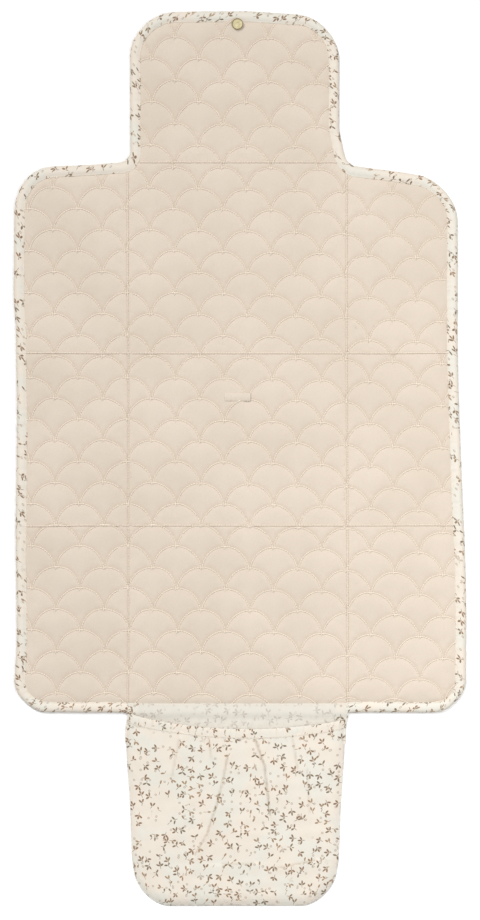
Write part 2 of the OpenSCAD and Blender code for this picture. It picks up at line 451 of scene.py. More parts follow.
class Soup:
    """Vertices and faces of one piece, with the coordinates that its cloth pattern is read from."""

    def __init__(self):
        self.verts, self.faces, self.slots, self.cloth, self.tint = [], [], [], [], []
        self.count = 0

    def add(self, verts, faces, slot=0, cloth=None, tint=0.0):
        verts = np.asarray(verts, float)
        cloth = verts if cloth is None else np.asarray(cloth, float)
        self.verts.append(verts)
        self.cloth.append(cloth)
        self.tint.append(np.broadcast_to(np.asarray(tint, float), len(verts)))
        self.faces += [tuple(int(i) + self.count for i in face) for face in faces]
        self.slots += [slot] * len(faces)
        self.count += len(verts)

    def build(self, name, materials, sharp=60):
        verts = np.vstack(self.verts)
        verts[:, :2] = lay_of_cloth(verts[:, :2])
        mesh = bpy.data.meshes.new(name)
        mesh.from_pydata(verts.tolist(), [], self.faces)
        for material in materials:
            mesh.materials.append(material)
        mesh.polygons.foreach_set("material_index", self.slots)
        mesh.polygons.foreach_set("use_smooth", [True] * len(self.faces))
        mesh.set_sharp_from_angle(angle=math.radians(sharp))
        cloth = mesh.attributes.new("cloth", "FLOAT_VECTOR", "POINT")
        cloth.data.foreach_set("vector", np.vstack(self.cloth).astype(np.float32).ravel())
        # Painted shade of each point, which the cloth materials darken by.
        tint = mesh.attributes.new("tint", "FLOAT", "POINT")
        tint.data.foreach_set("value", np.concatenate(self.tint).astype(np.float32))
        mesh.update()
        piece = bpy.data.objects.new(name, mesh)
        bpy.context.scene.collection.objects.link(piece)
        return piece


def clipped(polygon, axis, limit, above):
    """The part of a polygon on one side of a line along an axis."""
    out = []
    side = 1 if above else -1
    for here, there in zip(polygon, np.roll(polygon, -1, axis=0)):
        a = (here[axis] - limit) * side
        b = (there[axis] - limit) * side
        if a >= 0:
            out.append(here)
        if (a > 0 > b) or (a < 0 < b):
            out.append(here + (there - here) * a / (a - b))
    return np.array(out)


def closed_sides(polygon, step, shortest=0.05 * MM):
    """A polygon's outline with points every step along its sides. Sides under the shortest are dropped."""
    polygon = polygon[np.hypot(*(polygon - np.roll(polygon, 1, axis=0)).T) > shortest]
    corners = zip(polygon, np.roll(polygon, -1, axis=0))
    return np.vstack([resampled(np.array([a, b]), step)[:-1] for a, b in corners])


def cell_outline(x0, x1, y0, y1):
    """The outline of the part of the quilt between these limits, tucked in under the binding."""
    polygon = inset_outline(EDGE_TUCK)
    for axis, limit, above in ((0, x0, True), (0, x1, False), (1, y0, True), (1, y1, False)):
        polygon = clipped(polygon, axis, limit, above)
    return closed_sides(polygon, SEAM_STEP, 0.02 * MM)


def inside(points, polygon):
    """Whether each point lies inside the polygon."""
    result = np.zeros(len(points), bool)
    for (ax, ay), (bx, by) in zip(polygon, np.roll(polygon, -1, axis=0)):
        if ay == by:
            continue
        spans = (ay > points[:, 1]) != (by > points[:, 1])
        cross = (bx - ax) * (points[:, 1] - ay) / (by - ay) + ax
        result ^= spans & (points[:, 0] < cross)
    return result


def thinned(points, size):
    """Keeps the first point in every square of this size."""
    keys = np.floor(points / size).astype(np.int64)
    _, first = np.unique(keys, axis=0, return_index=True)
    return points[np.sort(first)]


RIM_CLEARANCE = 1.1 * MM


def triangulated(polygon, points):
    """Triangles that fill a polygon through its inner points: (places, triangles, rim loop)."""
    low, high = polygon.min(0), polygon.max(0)
    points = points[((points > low) & (points < high)).all(1)]
    points = points[inside(points, polygon)]
    points = points[distance_to(polygon, points) > RIM_CLEARANCE]
    # The triangulation works in mm, because its tolerance is an absolute length.
    everything = [Vector(place) for place in np.vstack([polygon, points]) / MM]
    rim = list(range(len(polygon)))
    only_inside = 1
    verts, _, faces, _, _, _ = delaunay_2d_cdt(everything, [], [rim], only_inside, 1e-6)
    places = np.array([tuple(v) for v in verts]) * MM
    ahead = {}
    edges = {(f[k], f[(k + 1) % len(f)]) for f in faces for k in range(len(f))}
    for a, b in edges:
        if (b, a) not in edges:
            ahead[a] = b
    start = next(iter(ahead))
    loop = [start]
    while ahead[loop[-1]] != start:
        loop.append(ahead[loop[-1]])
    return places, faces, loop


def slab(soup, places, faces, loop, top, bottom, tint=0.0, flat_side=None, cloth=None, far_cloth=None):
    """A closed sheet between two heights. flat_side names a level side, which is then one face."""
    count = len(places)
    top = np.broadcast_to(top, count)
    bottom = np.broadcast_to(bottom, count)
    near_z, far_z = (bottom, top) if flat_side == "top" else (top, bottom)
    rim = list(range(count)) if flat_side is None else loop
    other = dict(zip(rim, range(count, count + len(rim))))
    shell = [tuple(face) for face in faces]
    if flat_side is None:
        cap = [tuple(other[i] for i in face[::-1]) for face in faces]
    else:
        cap = [tuple(other[i] for i in loop[::-1])]
    walls = [(a, other[a], other[b], b) for a, b in zip(loop, loop[1:] + loop[:1])]
    everything = shell + cap + walls
    if flat_side == "top":
        everything = [face[::-1] for face in everything]
    verts = np.vstack([np.column_stack([places, near_z]), np.column_stack([places[rim], far_z[rim]])])
    painted_shades = np.zeros(len(verts))
    painted_shades[:count] = tint
    if far_cloth is None:
        far_cloth = cloth
    if cloth is not None:
        cloth = np.vstack([cloth, far_cloth[rim]])
    soup.add(verts, everything, tint=painted_shades, cloth=cloth)


def stitches(soup, places, heights, headings, length, radius=0.25 * MM):
    """A short thread stitch at each place, pointed at both ends. One height or heading may serve all."""
    count = len(places)
    centres = np.column_stack([places, np.broadcast_to(heights, count)])
    ahead = np.column_stack([np.broadcast_to(headings, (count, 2)), np.zeros(count)])
    ahead /= np.linalg.norm(ahead, axis=1)[:, None]
    across = np.column_stack([-ahead[:, 1], ahead[:, 0], np.zeros(count)])
    up = np.tile([0, 0, 1.0], (count, 1))
    corners = [(-0.5, 0, 0), (0.5, 0, 0)]
    for along in (-0.3, 0.3):
        corners += [(along, 1, 0), (along, 0, 1), (along, -1, 0), (along, 0, -1)]
    verts = np.empty((count, 10, 3))
    for k, (a, b, c) in enumerate(corners):
        verts[:, k] = centres + ahead * a * length + across * b * radius + up * c * radius
    shape = []
    for k in range(4):
        n = (k + 1) % 4
        shape += [(0, 2 + n, 2 + k), (1, 6 + k, 6 + n), (2 + k, 2 + n, 6 + n, 6 + k)]
    faces = [tuple(i + 10 * s for i in face) for s in range(count) for face in shape]
    soup.add(verts.reshape(-1, 3), faces, slot=1)


def sweep(soup, rings, cloth, tint=0.0):
    """A closed tube through rings of points, with its two ends capped."""
    count, around, _ = rings.shape
    faces = []
    for i in range(count - 1):
        for k in range(around):
            n = (k + 1) % around
            a, b = i * around, (i + 1) * around
            faces.append((a + k, a + n, b + n, b + k))
    faces.append(tuple(range(around))[::-1])
    faces.append(tuple(range((count - 1) * around, count * around)))
    soup.add(rings.reshape(-1, 3), faces, cloth=cloth.reshape(-1, 3), tint=tint)


# ---- Materials ----

LIGHT_SHARE = 0.85


def linear(r, g, b):
    """A colour as it looks in the picture, less what the bright studio light adds to it."""
    return tuple(LIGHT_SHARE * ((c / 255 + 0.055) / 1.055) ** 2.4 for c in (r, g, b)) + (1,)


class Nodes:
    """Short calls for building one material's node tree. Each returns the output that it makes."""

    def __init__(self, name, roughness, sheen=0.0, metallic=0.0):
        self.material = bpy.data.materials.new(name)
        self.material.use_nodes = True
        self.tree = self.material.node_tree
        self.shader = self.tree.nodes["Principled BSDF"]
        self.shader.inputs["Roughness"].default_value = roughness
        self.shader.inputs["Metallic"].default_value = metallic
        if sheen:
            self.shader.inputs["Sheen Weight"].default_value = sheen
            self.shader.inputs["Sheen Roughness"].default_value = 0.5

    def join(self, value, socket):
        if isinstance(value, bpy.types.NodeSocket):
            self.tree.links.new(value, socket)
        else:
            socket.default_value = value

    def node(self, kind, inputs=None, **settings):
        """A new node with these settings, and with these values or links on its inputs."""
        made = self.tree.nodes.new("ShaderNode" + kind)
        for key, value in settings.items():
            setattr(made, key, value)
        for entry, value in (inputs or {}).items():
            self.join(value, made.inputs[entry])
        return made

    def math(self, operation, *values):
        return self.node("Math", dict(enumerate(values)), operation=operation).outputs[0]

    def vector(self, operation, *values):
        made = self.node("VectorMath", dict(enumerate(values)), operation=operation)
        return made.outputs["Value" if operation == "LENGTH" else "Vector"]

    def attribute(self, name, output="Vector"):
        return self.node("Attribute", attribute_name=name).outputs[output]

    def noise(self, where, size, detail=2.0, roughness=0.5):
        inputs = {"Vector": where, "Scale": 1 / size, "Detail": detail, "Roughness": roughness}
        return self.node("TexNoise", inputs).outputs["Fac"]

    def fade(self, value, low, high, start=0.0, end=1.0):
        inputs = {"Value": value, "From Min": low, "From Max": high, "To Min": start, "To Max": end}
        return self.node("MapRange", inputs, interpolation_type="SMOOTHSTEP").outputs["Result"]

    def mix(self, fac, a, b):
        # The node's A, B and Result share their names with sockets of other types, so they go by number.
        return self.node("Mix", {"Factor": fac, 6: a, 7: b}, data_type="RGBA").outputs[2]

    def turned(self, where, angle):
        inputs = {"Vector": where, "Angle": angle}
        return self.node("VectorRotate", inputs, rotation_type="Z_AXIS").outputs[0]

    def finish(self, color, height=None, distance=0.0, strength=1.0):
        self.join(color, self.shader.inputs["Base Color"])
        if height is not None:
            bump = self.node("Bump", {"Distance": distance, "Strength": strength, "Height": height})
            self.join(bump.outputs["Normal"], self.shader.inputs["Normal"])
        return self.material


def weave(n, where, pitch):
    """Height of a plain weave: two sets of threads that pass over and under each other."""
    parts = n.node("SeparateXYZ", {0: where}).outputs
    pace = math.tau / pitch
    warp = n.math("SINE", n.math("MULTIPLY", parts[0], pace))
    weft = n.math("SINE", n.math("MULTIPLY", parts[1], pace))
    return n.math("MULTIPLY_ADD", n.math("MULTIPLY", warp, weft), 0.5, 0.5)


def quilt_cotton():
    """Plain beige cotton, a little uneven in tone, with painted shade where a seam pulls the cloth down.
    """
    n = Nodes("quilt_cotton", roughness=0.85, sheen=0.15)
    where = n.attribute("cloth")
    tint = n.attribute("tint", "Fac")
    broad = n.noise(where, 90 * MM, 3)
    fibre = n.noise(n.vector("MULTIPLY", where, (1, 2.6, 1)), 1.6 * MM, 3, 0.7)
    color = n.mix(n.fade(broad, 0.3, 0.7), linear(220, 206, 189), linear(227, 213, 197))
    color = n.mix(n.fade(fibre, 0.25, 0.75), n.mix(0.35, color, linear(204, 188, 170)), color)
    # Painted shade: darker brown on the outer side of each seam arc and along the wing folds, as
    # seam_shade sets it.
    color = n.mix(tint, color, linear(196, 175, 154))
    height = n.math("MULTIPLY_ADD", fibre, 0.8, weave(n, where, 0.62 * MM))
    return n.finish(color, height, 0.06 * MM, 0.7)


SPRIG_CELL = 10.2 * MM
BERRY_CELL = 8.5 * MM
# A sprig's leaves, in a cell one unit across: their angles, their distances out, and which random
# channel of the cell leaves each one out. Then the half length and half width of a leaf and of the stem.
LEAVES = ((-62, 0.27, 2), (0, 0.33, 1), (58, 0.26, 0))
LEAF_SIZE = (0.215, 0.095)
STEM_SIZE = (0.2, 0.03)
STEM_BACK = 0.13


def oval(n, where, centre_x, size):
    """Distance from the middle of an oval, which is 1 on its rim."""
    moved = n.vector("SUBTRACT", where, (centre_x, 0, 0))
    return n.vector("LENGTH", n.vector("MULTIPLY", moved, (1 / size[0], 1 / size[1], 0)))


def sprig_shape(n, where, chance):
    """A distance that is 1 on the rim of up to three leaves and a stem around the origin."""
    nearest = oval(n, where, -STEM_BACK, STEM_SIZE)
    for turn, reach, pick in LEAVES:
        leaf = oval(n, n.turned(where, math.radians(turn)), reach, LEAF_SIZE)
        missing = n.fade(chance[pick], 0.74, 0.76)
        nearest = n.math("MINIMUM", nearest, n.math("ADD", leaf, missing))
    return nearest


def cells(n, where, size, randomness):
    """Scattered cells: the offset from the cell's centre, that centre, and the cell's random numbers."""
    scaled = n.vector("MULTIPLY", where, (1 / size, 1 / size, 0))
    inputs = {"Vector": scaled, "Scale": 1, "Randomness": randomness}
    found = n.node("TexVoronoi", inputs, voronoi_dimensions="2D").outputs
    chance = n.node("SeparateColor", {0: found["Color"]}).outputs
    return n.vector("SUBTRACT", scaled, found["Position"]), found["Position"], chance


def printed(n, where, ground):
    """Brown three-leaf sprigs and small ringed berries, scattered in trails over a ground colour."""
    offset, centre, chance = cells(n, where, SPRIG_CELL, 0.85)
    turned = n.turned(offset, n.math("MULTIPLY", chance[0], math.tau))
    ragged = n.noise(where, 1.5 * MM, 2)
    shape = n.math("MULTIPLY_ADD", ragged, 0.7, sprig_shape(n, turned, chance))
    off_trail = n.math("ABSOLUTE", n.math("SUBTRACT", n.noise(centre, 2.6, 1), 0.52))
    shown = n.fade(off_trail, 0.10, 0.115, 1, 0)
    mask = n.math("MULTIPLY", n.fade(shape, 1.15, 1.55, 1, 0), shown)
    leaf = n.mix(n.fade(chance[1], 0.35, 0.65), linear(130, 95, 58), linear(117, 96, 70))
    leaf = n.mix(n.fade(chance[2], 0.6, 0.9), leaf, linear(160, 128, 94))
    color = n.mix(n.math("MULTIPLY", mask, 0.93), ground, leaf)
    offset, _, chance = cells(n, n.vector("ADD", where, (0.317, 0.171, 0)), BERRY_CELL, 1.0)
    ring = n.math("ABSOLUTE", n.math("SUBTRACT", n.vector("LENGTH", offset), 0.11))
    berry = n.math("MULTIPLY", n.fade(ring, 0.03, 0.07, 1, 0), n.fade(chance[0], 0.62, 0.64))
    return n.mix(n.math("MULTIPLY", berry, 0.75), color, linear(176, 158, 138))


def fine_weave(n, where, color):
    """Finishes a fine plain cotton of this colour."""
    fibre = n.noise(where, 1.2 * MM, 3, 0.7)
    height = n.math("MULTIPLY_ADD", fibre, 0.6, weave(n, where, 0.5 * MM))
    return n.finish(color, height, 0.05 * MM, 0.6)


def print_cotton():
    """Pale cotton with brown sprigs, darkened by painted shade round the outer edge of the binding and at
    the foot of the pocket's pleats.
    """
    n = Nodes("print_cotton", roughness=0.82, sheen=0.12)
    where = n.attribute("cloth")
    tint = n.attribute("tint", "Fac")
    cool = n.fade(n.noise(where, 34 * MM, 2), 0.42, 0.62)
    ground = n.mix(cool, linear(233, 223, 209), linear(228, 224, 212))
    color = printed(n, where, ground)
    # Painted shade: towards a darker brown at the binding's rolled outer edge and in the hollows of the
    # pleats.
    color = n.mix(tint, color, n.mix(0.75, color, linear(164, 142, 116)))
    return fine_weave(n, where, color)


def lining_cotton():
    """The wrong side of the print: pale, with the sprigs showing through faintly."""
    n = Nodes("lining_cotton", roughness=0.85, sheen=0.1)
    where = n.attribute("cloth")
    ground = linear(226, 222, 212)
    through = printed(n, n.vector("MULTIPLY", where, (-1, 1, 1)), linear(228, 219, 204))
    color = n.mix(0.34, ground, through)
    return fine_weave(n, where, color)


def thread():
    n = Nodes("thread", roughness=0.6, sheen=0.2)
    where = n.attribute("cloth")
    strands = n.noise(where, 0.4 * MM, 2)
    color = n.mix(strands, linear(240, 225, 206), linear(250, 237, 221))
    return n.finish(color, strands, 0.04 * MM)


def label_tape():
    """Blank woven tape."""
    n = Nodes("label_tape", roughness=0.7, sheen=0.1)
    where = n.attribute("cloth")
    height = weave(n, where, 0.5 * MM)
    streak = n.noise(n.vector("MULTIPLY", where, (0.2, 1, 1)), 0.7 * MM, 2)
    color = n.mix(streak, linear(217, 203, 186), linear(226, 212, 196))
    return n.finish(color, height, 0.06 * MM)


def brass():
    """Worn brass, with a painted shadow darkening the rims of the two snap halves where they meet the
    cloth.
    """
    n = Nodes("brass", roughness=0.34, metallic=0.72)
    where = n.node("TexCoord").outputs["Object"]
    worn = n.noise(where, 3 * MM, 4, 0.6)
    from_axis = []
    for axis in (SNAP, STUD):
        off = n.vector("SUBTRACT", where, tuple(axis))
        from_axis.append(n.vector("LENGTH", n.vector("MULTIPLY", off, (1, 1, 0))))
    # Painted shadow: a dark ring round the rim of each snap half, where it meets the cloth.
    painted_rim_shadow = n.fade(n.math("MINIMUM", *from_axis), SNAP_R - 1.2 * MM, SNAP_R - 0.5 * MM)
    color = n.mix(worn, linear(247, 225, 164), linear(255, 249, 214))
    color = n.mix(painted_rim_shadow, color, linear(150, 132, 88))
    n.join(n.fade(worn, 0.3, 0.8, 0.28, 0.46), n.shader.inputs["Roughness"])
    return n.finish(color, worn, 0.03 * MM, 0.4)


def white_floor():
    n = Nodes("floor", roughness=0.9)
    n.shader.inputs["Specular IOR Level"].default_value = 0.1
    where = n.node("TexCoord").outputs["Object"]
    tone = n.noise(where, 0.8, 2)
    return n.finish(n.mix(tone, (0.93, 0.93, 0.93, 1), (0.95, 0.95, 0.95, 1)))


QUILT = quilt_cotton()
PRINT = print_cotton()
LINING = lining_cotton()
THREAD = thread()
LABEL_TAPE = label_tape()
BRASS = brass()


# ---- The quilt ----

FOLD_ROWS = (0, -1.3 * MM, 1.3 * MM, -3.0 * MM, 3.0 * MM)


def loose_grid(low, high, step, seed):
    """Places on a square grid, each shifted a little at random."""
    x, y = np.meshgrid(np.arange(low[0], high[0], step), np.arange(low[1], high[1], step))
    rng = np.random.default_rng(seed)
    return np.column_stack([x.ravel(), y.ravel()]) + rng.uniform(-0.2, 0.2, (x.size, 2)) * step


def quilt_points(step, offsets, grid):
    """Inner points for the whole quilt: rows along every seam, and a looser grid between them."""
    rows = [scale_lines(step, offset)[0] for offset in offsets]
    for line_y in (UPPER_Y, LOWER_Y, TAB_Y):
        rows += [line_of_points(1, line_y + offset, -HALF_W, HALF_W, SEAM_STEP) for offset in FOLD_ROWS]
    for line_x in (-WING_SEAM_X, WING_SEAM_X):
        rows += [line_of_points(0, line_x + offset, FOOT_Y, TAB_Y, SEAM_STEP) for offset in FOLD_ROWS]
    loose = loose_grid((-HALF_W, FOOT_Y), (HALF_W, END_Y), grid, 5)
    loose = loose[np.abs(scale_gap(loose)) > 3.6 * MM]
    return thinned(np.vstack(rows + [loose]), 0.9 * MM)


FACE_POINTS = quilt_points(2.4 * MM, (0, -1.1 * MM, 1.1 * MM, -2.8 * MM, 2.8 * MM), 4.2 * MM)
BACK_POINTS = quilt_points(3.4 * MM, (0, -1.8 * MM, 1.8 * MM), 5.5 * MM)
STITCH_PITCH = 2.9 * MM
STITCH_LENGTH = 3.3 * MM
STITCH_R = 0.6 * MM
ARC_STITCHES = scale_lines(STITCH_PITCH)


def sewn_sheet():
    """The whole cover as one flat sheet, and which of its points are sewn down."""
    polygon = inset_outline(EDGE_TUCK)
    places, faces, _ = triangulated(polygon, thinned(FACE_POINTS, SIM_STEP))
    across, along = fold_distance(places)
    seam = np.minimum(np.abs(scale_gap(places)), np.minimum(across, along))
    sewn = (seam < 0.5 * MM) | (rim_distance(places) < BINDING_W)
    return places, faces, sewn


def simulated_puffs():
    """Blows the sewn sheet up with a cloth simulation, and reads its puffs back anywhere."""
    places, faces, sewn = sewn_sheet()
    base = base_height(places)
    mesh = bpy.data.meshes.new("sheet")
    started = base + SIM_START * drawn_puffs(places)
    mesh.from_pydata(np.column_stack([places, started]).tolist(), [], faces)
    sheet = bpy.data.objects.new("sheet", mesh)
    scene = bpy.context.scene
    scene.collection.objects.link(sheet)
    group = sheet.vertex_groups.new(name="sewn")
    group.add(np.nonzero(sewn)[0].tolist(), 1.0, "REPLACE")
    cloth = sheet.modifiers.new("cloth", "CLOTH")
    for name, value in SIM_SETTINGS.items():
        setattr(cloth.settings, name, value)
    cloth.settings.effector_weights.gravity = 0
    cloth.collision_settings.use_collision = False
    cloth.point_cache.frame_end = SIM_FRAMES
    for moment in range(1, SIM_FRAMES + 1):
        scene.frame_set(moment)
    shaped = sheet.evaluated_get(bpy.context.evaluated_depsgraph_get()).to_mesh()
    moved = np.empty(len(places) * 3, np.float32)
    shaped.vertices.foreach_get("co", moved)
    moved = moved.reshape(-1, 3).astype(float)
    bpy.data.objects.remove(sheet)
    scene.frame_set(1)
    rise = np.clip(moved[:, 2] - base, 0, None)
    rise = np.minimum(rise / np.percentile(rise, 97), 1.12) * (Z_PUFF - 0.25 * MM - Z_SEAM)
    tree = BVHTree.FromPolygons(np.column_stack([places, rise]).tolist(), faces)

    def puffs(xy):
        out = np.zeros(len(xy))
        for k, (x, y) in enumerate(xy):
            hit = tree.ray_cast(Vector((x, y, 1)), Vector((0, 0, -1)))[0]
            out[k] = hit.z if hit else 0.0
        return out

    return puffs


PUFFS = simulated_puffs()


def seam_shade(xy):
    """Darker on the outer side of each arc, where the cloth dips, and along the wing folds."""
    outer = np.exp(-(((scale_gap(xy) - 1.8 * MM) / (0.9 * MM)) ** 2))
    along = fold_distance(xy)[1]
    return 0.5 * outer + 0.12 * np.exp(-((along / (1.8 * MM)) ** 2))


def fold_stitches():
    """Places and directions of the stitches along the fold lines."""
    # A stitch that lies on the split between two rows of panels is moved just off it.
    off_split = 0.3 * MM
    lines = (
        (1, UPPER_Y + off_split, -HALF_W, HALF_W),
        (1, LOWER_Y + off_split, -HALF_W, HALF_W),
        (1, TAB_Y, -TAB_HALF, TAB_HALF),
        (0, -WING_SEAM_X, FOOT_Y, TAB_Y),
        (0, WING_SEAM_X, FOOT_Y, TAB_Y),
    )
    places = [line_of_points(*line, STITCH_PITCH) for line in lines]
    headings = [np.tile([line[0], 1.0 - line[0]], (len(row), 1)) for line, row in zip(lines, places)]
    return np.vstack(places), np.vstack(headings)


FOLD_STITCHES = fold_stitches()


def stitched(soup, polygon, height, lift):
    """Sews the seams of one part of the quilt, with threads this far above its face, or more on a fold."""
    low, high = polygon.min(0), polygon.max(0)
    for places, headings, rise in ((*ARC_STITCHES, lift), (*FOLD_STITCHES, 1.8 * lift)):
        keep = ((places > low) & (places < high)).all(1)
        places, headings = places[keep], headings[keep]
        keep = inside(places, polygon) & (rim_distance(places) > BINDING_W - 1 * MM)
        places, headings = places[keep], headings[keep]
        # A stitch that would hang over the cell's edge is left out.
        for side in (-1.3 * MM, 1.3 * MM):
            keep = inside(places + headings * side, polygon)
            places, headings = places[keep], headings[keep]
        if len(places):
            stitches(soup, places, height(places) + rise, headings, STITCH_LENGTH, STITCH_R)


def quilt_cell(name, x0, x1, y0, y1, bends):
    """The cover and the backing of one part of the quilt, as two closed pieces."""
    polygon = cell_outline(x0, x1, y0, y1)
    cover, backing = Soup(), Soup()
    places, faces, loop = triangulated(polygon, FACE_POINTS)
    flat = None if bends else "bottom"
    shade = seam_shade(places)
    slab(cover, places, faces, loop, face_height(places), Z_MID_LOW, tint=shade, flat_side=flat)
    stitched(cover, polygon, face_height, 0.5 * MM)
    places, faces, loop = triangulated(polygon, BACK_POINTS)
    flat = None if bends else "top"
    cloth = back_cloth(places, x0 > -WING_X and x1 < WING_X)
    slab(backing, places, faces, loop, Z_MID_HIGH, back_height(places), flat_side=flat, cloth=cloth)
    stitched(backing, polygon, back_height, 0.02 * MM)
    cover = cover.build(name + "_quilt", [QUILT, THREAD])
    backing = backing.build(name + "_back", [PRINT, THREAD])
    return cover, backing


# The split between two rows of panels is this far on either side of their fold line.
ROW_GAP = 0.05 * MM
ROWS = {
    "upper": (UPPER_Y, TAB_Y),
    "middle": (LOWER_Y, UPPER_Y),
    "lower": (FOOT_Y, LOWER_Y),
}
INNER_X = WING_X - WING_BEND
OUTER_X = WING_X + WING_BEND
# Beyond the mat on any side.
FAR = 1.0


def quilt_panel(name, *limits):
    """A part of the quilt that moves as a whole with the body of its name."""
    cover, backing = quilt_cell(name, *limits, bends=False)
    for piece in (cover, backing):
        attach(piece, name)
    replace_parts(cover, name + "_cover", name + "_wadding")
    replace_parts(backing, name + "_backing")


def quilt_bend(name, limits):
    """A part of the quilt that lies over the fold between two bodies, with both of its faces fully meshed.
    """
    for piece in quilt_cell(name, *limits, bends=True):
        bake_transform(piece)


def quilt():
    for row, (low, high) in ROWS.items():
        foot = -FAR if row == "lower" else low + ROW_GAP
        head = FAR if row == "upper" else high - ROW_GAP
        bottom = -FAR if row == "lower" else low + ROW_BEND
        quilt_panel(f"centre_{row}", -INNER_X, INNER_X, bottom, high - ROW_BEND)
        quilt_panel(f"left_{row}", -FAR, -OUTER_X, foot, head)
        quilt_panel(f"right_{row}", OUTER_X, FAR, foot, head)
        middle_y = (low + high) / 2
        for side, sign in (("left", -1), ("right", 1)):
            start, end = (sign * INNER_X, middle_y, 0), (sign * OUTER_X, middle_y, 0)
            x0, x1 = sorted((start[0], end[0]))
            limits = (x0, x1, foot, head)
            quilt_bend(f"{side}_{row}_bend", limits)
    folds = {
        "tab": (TAB_Y, "centre_upper", "tab"),
        "upper_row": (UPPER_Y, "centre_middle", "centre_upper"),
        "lower_row": (LOWER_Y, "centre_lower", "centre_middle"),
    }
    for name, (y, below, above) in folds.items():
        low, high = y - ROW_BEND, y + ROW_BEND
        quilt_bend(name + "_bend", (-INNER_X, INNER_X, low, high))
    quilt_panel("tab", -INNER_X, INNER_X, TAB_Y + ROW_BEND, FAR)


# ---- The binding ----

RIM_ALONG = lengths_along(np.vstack([RIM, RIM[:1]]))
RIM_LENGTH = RIM_ALONG[-1]
EDGE_STITCH_PITCH = 2.8 * MM
EDGE_STITCH = 2.2 * MM
BINDING_STEP = 1.7 * MM
BINDING_TOP_Z = 4.7 * MM
BINDING_MAX_Z = 4.95 * MM
BINDING_STITCH_IN = 11.1 * MM
BINDING_STITCH_Z = 3.25 * MM
# The binding is cut from another part of the print than the pocket, and on a slant.
BINDING_PRINT_AT = 0.4
BINDING_SLANT = 0.6
# The binding's cross-section: how far in from the rim and how high, in mm, from under the rim inward,
# over the stitched inner edge and back round the rim.
BINDING_PROFILE = np.array([
    (1.4, 0.05), (6.0, 0.0), (11.0, 0.05), (12.0, 0.5), (12.1, 2.5), (11.7, 3.1), (10.9, 3.1), (9.9, 3.55),
    (8.4, 4.25), (6.4, 4.65), (4.2, 4.7), (2.3, 4.3), (0.9, 3.5), (0.15, 2.4), (0.3, 1.0),
]) * MM


def rim_at(along):
    """Points and outward normals at these lengths round the outline."""
    along = np.mod(along, RIM_LENGTH)
    points = np.vstack([RIM, RIM[:1]])
    normals = np.vstack([RIM_NORMAL, RIM_NORMAL[:1]])
    place = np.column_stack([np.interp(along, RIM_ALONG, points[:, k]) for k in (0, 1)])
    normal = np.column_stack([np.interp(along, RIM_ALONG, normals[:, k]) for k in (0, 1)])
    return place, normal / np.hypot(*normal.T)[:, None]


def rim_crossing(axis, value, first=True):
    """Length round the right half of the outline at which a coordinate passes a value."""
    half = len(RIM) // 2 + 1
    line = RIM[:half, axis] - value
    crossings = np.nonzero(line[:-1] * line[1:] <= 0)[0]
    k = crossings[0] if first else crossings[-1]
    share = line[k] / (line[k] - line[k + 1])
    return RIM_ALONG[k] + share * (RIM_ALONG[k + 1] - RIM_ALONG[k])


def binding_piece(name, start, end):
    """The binding between two lengths round the outline, puckered along its stitched inner edge."""
    count = max(3, round((end - start) / BINDING_STEP))
    along = np.linspace(start, end, count + 1)
    place, normal = rim_at(along)
    line = np.column_stack([along, np.zeros(len(along))])
    fine = smooth_noise(line, 5.5 * MM, 21, 14)
    coarse = smooth_noise(line, 28 * MM, 22, 8)
    edge = smooth_noise(line, 60 * MM, 23, 6)
    across, up = BINDING_PROFILE.T
    gather = np.clip(up / BINDING_TOP_Z, 0, 1) * ramp(across, 0.5 * MM, 9 * MM)
    inward = across[None] + edge[:, None] * 0.35 * MM * ramp(across, 6 * MM, 12 * MM)[None]
    inward = inward + 0.2 * MM * fine[:, None] * ramp(across, 3 * MM, 0)[None]
    z = up[None] + gather[None] * (0.34 * MM * fine[:, None] + 0.12 * MM * coarse[:, None])
    z = np.clip(z, 0, BINDING_MAX_Z)
    rings = place[:, None, :] - normal[:, None, :] * inward[:, :, None]
    rings = np.concatenate([rings, z[:, :, None]], axis=2)
    lengths = lengths_along(BINDING_PROFILE)
    cloth = np.empty_like(rings)
    cloth[:, :, 0] = along[:, None] + BINDING_SLANT * lengths[None]
    cloth[:, :, 1] = lengths[None] + BINDING_PRINT_AT
    cloth[:, :, 2] = 0
    # Painted shade on the binding's outer edge, where it rolls down to the floor.
    shade = 0.25 * (1 - ramp(across, 0.6 * MM, 4.5 * MM))
    soup = Soup()
    sweep(soup, rings, cloth, tint=np.tile(shade, len(rings)))
    half = EDGE_STITCH_PITCH / 2
    along = np.arange(start + half, end - half, EDGE_STITCH_PITCH)
    place, normal = rim_at(along)
    spot = place - normal * BINDING_STITCH_IN
    headings = np.column_stack([-normal[:, 1], normal[:, 0]])
    stitches(soup, spot, BINDING_STITCH_Z, headings, EDGE_STITCH)
    piece = soup.build(name + "_edge", [PRINT, THREAD])
    return piece


def on_side(side, start, end):
    """A stretch of the right half of the outline, or its mirror image on the left half."""
    return (start, end) if side == "right" else (RIM_LENGTH - end, RIM_LENGTH - start)


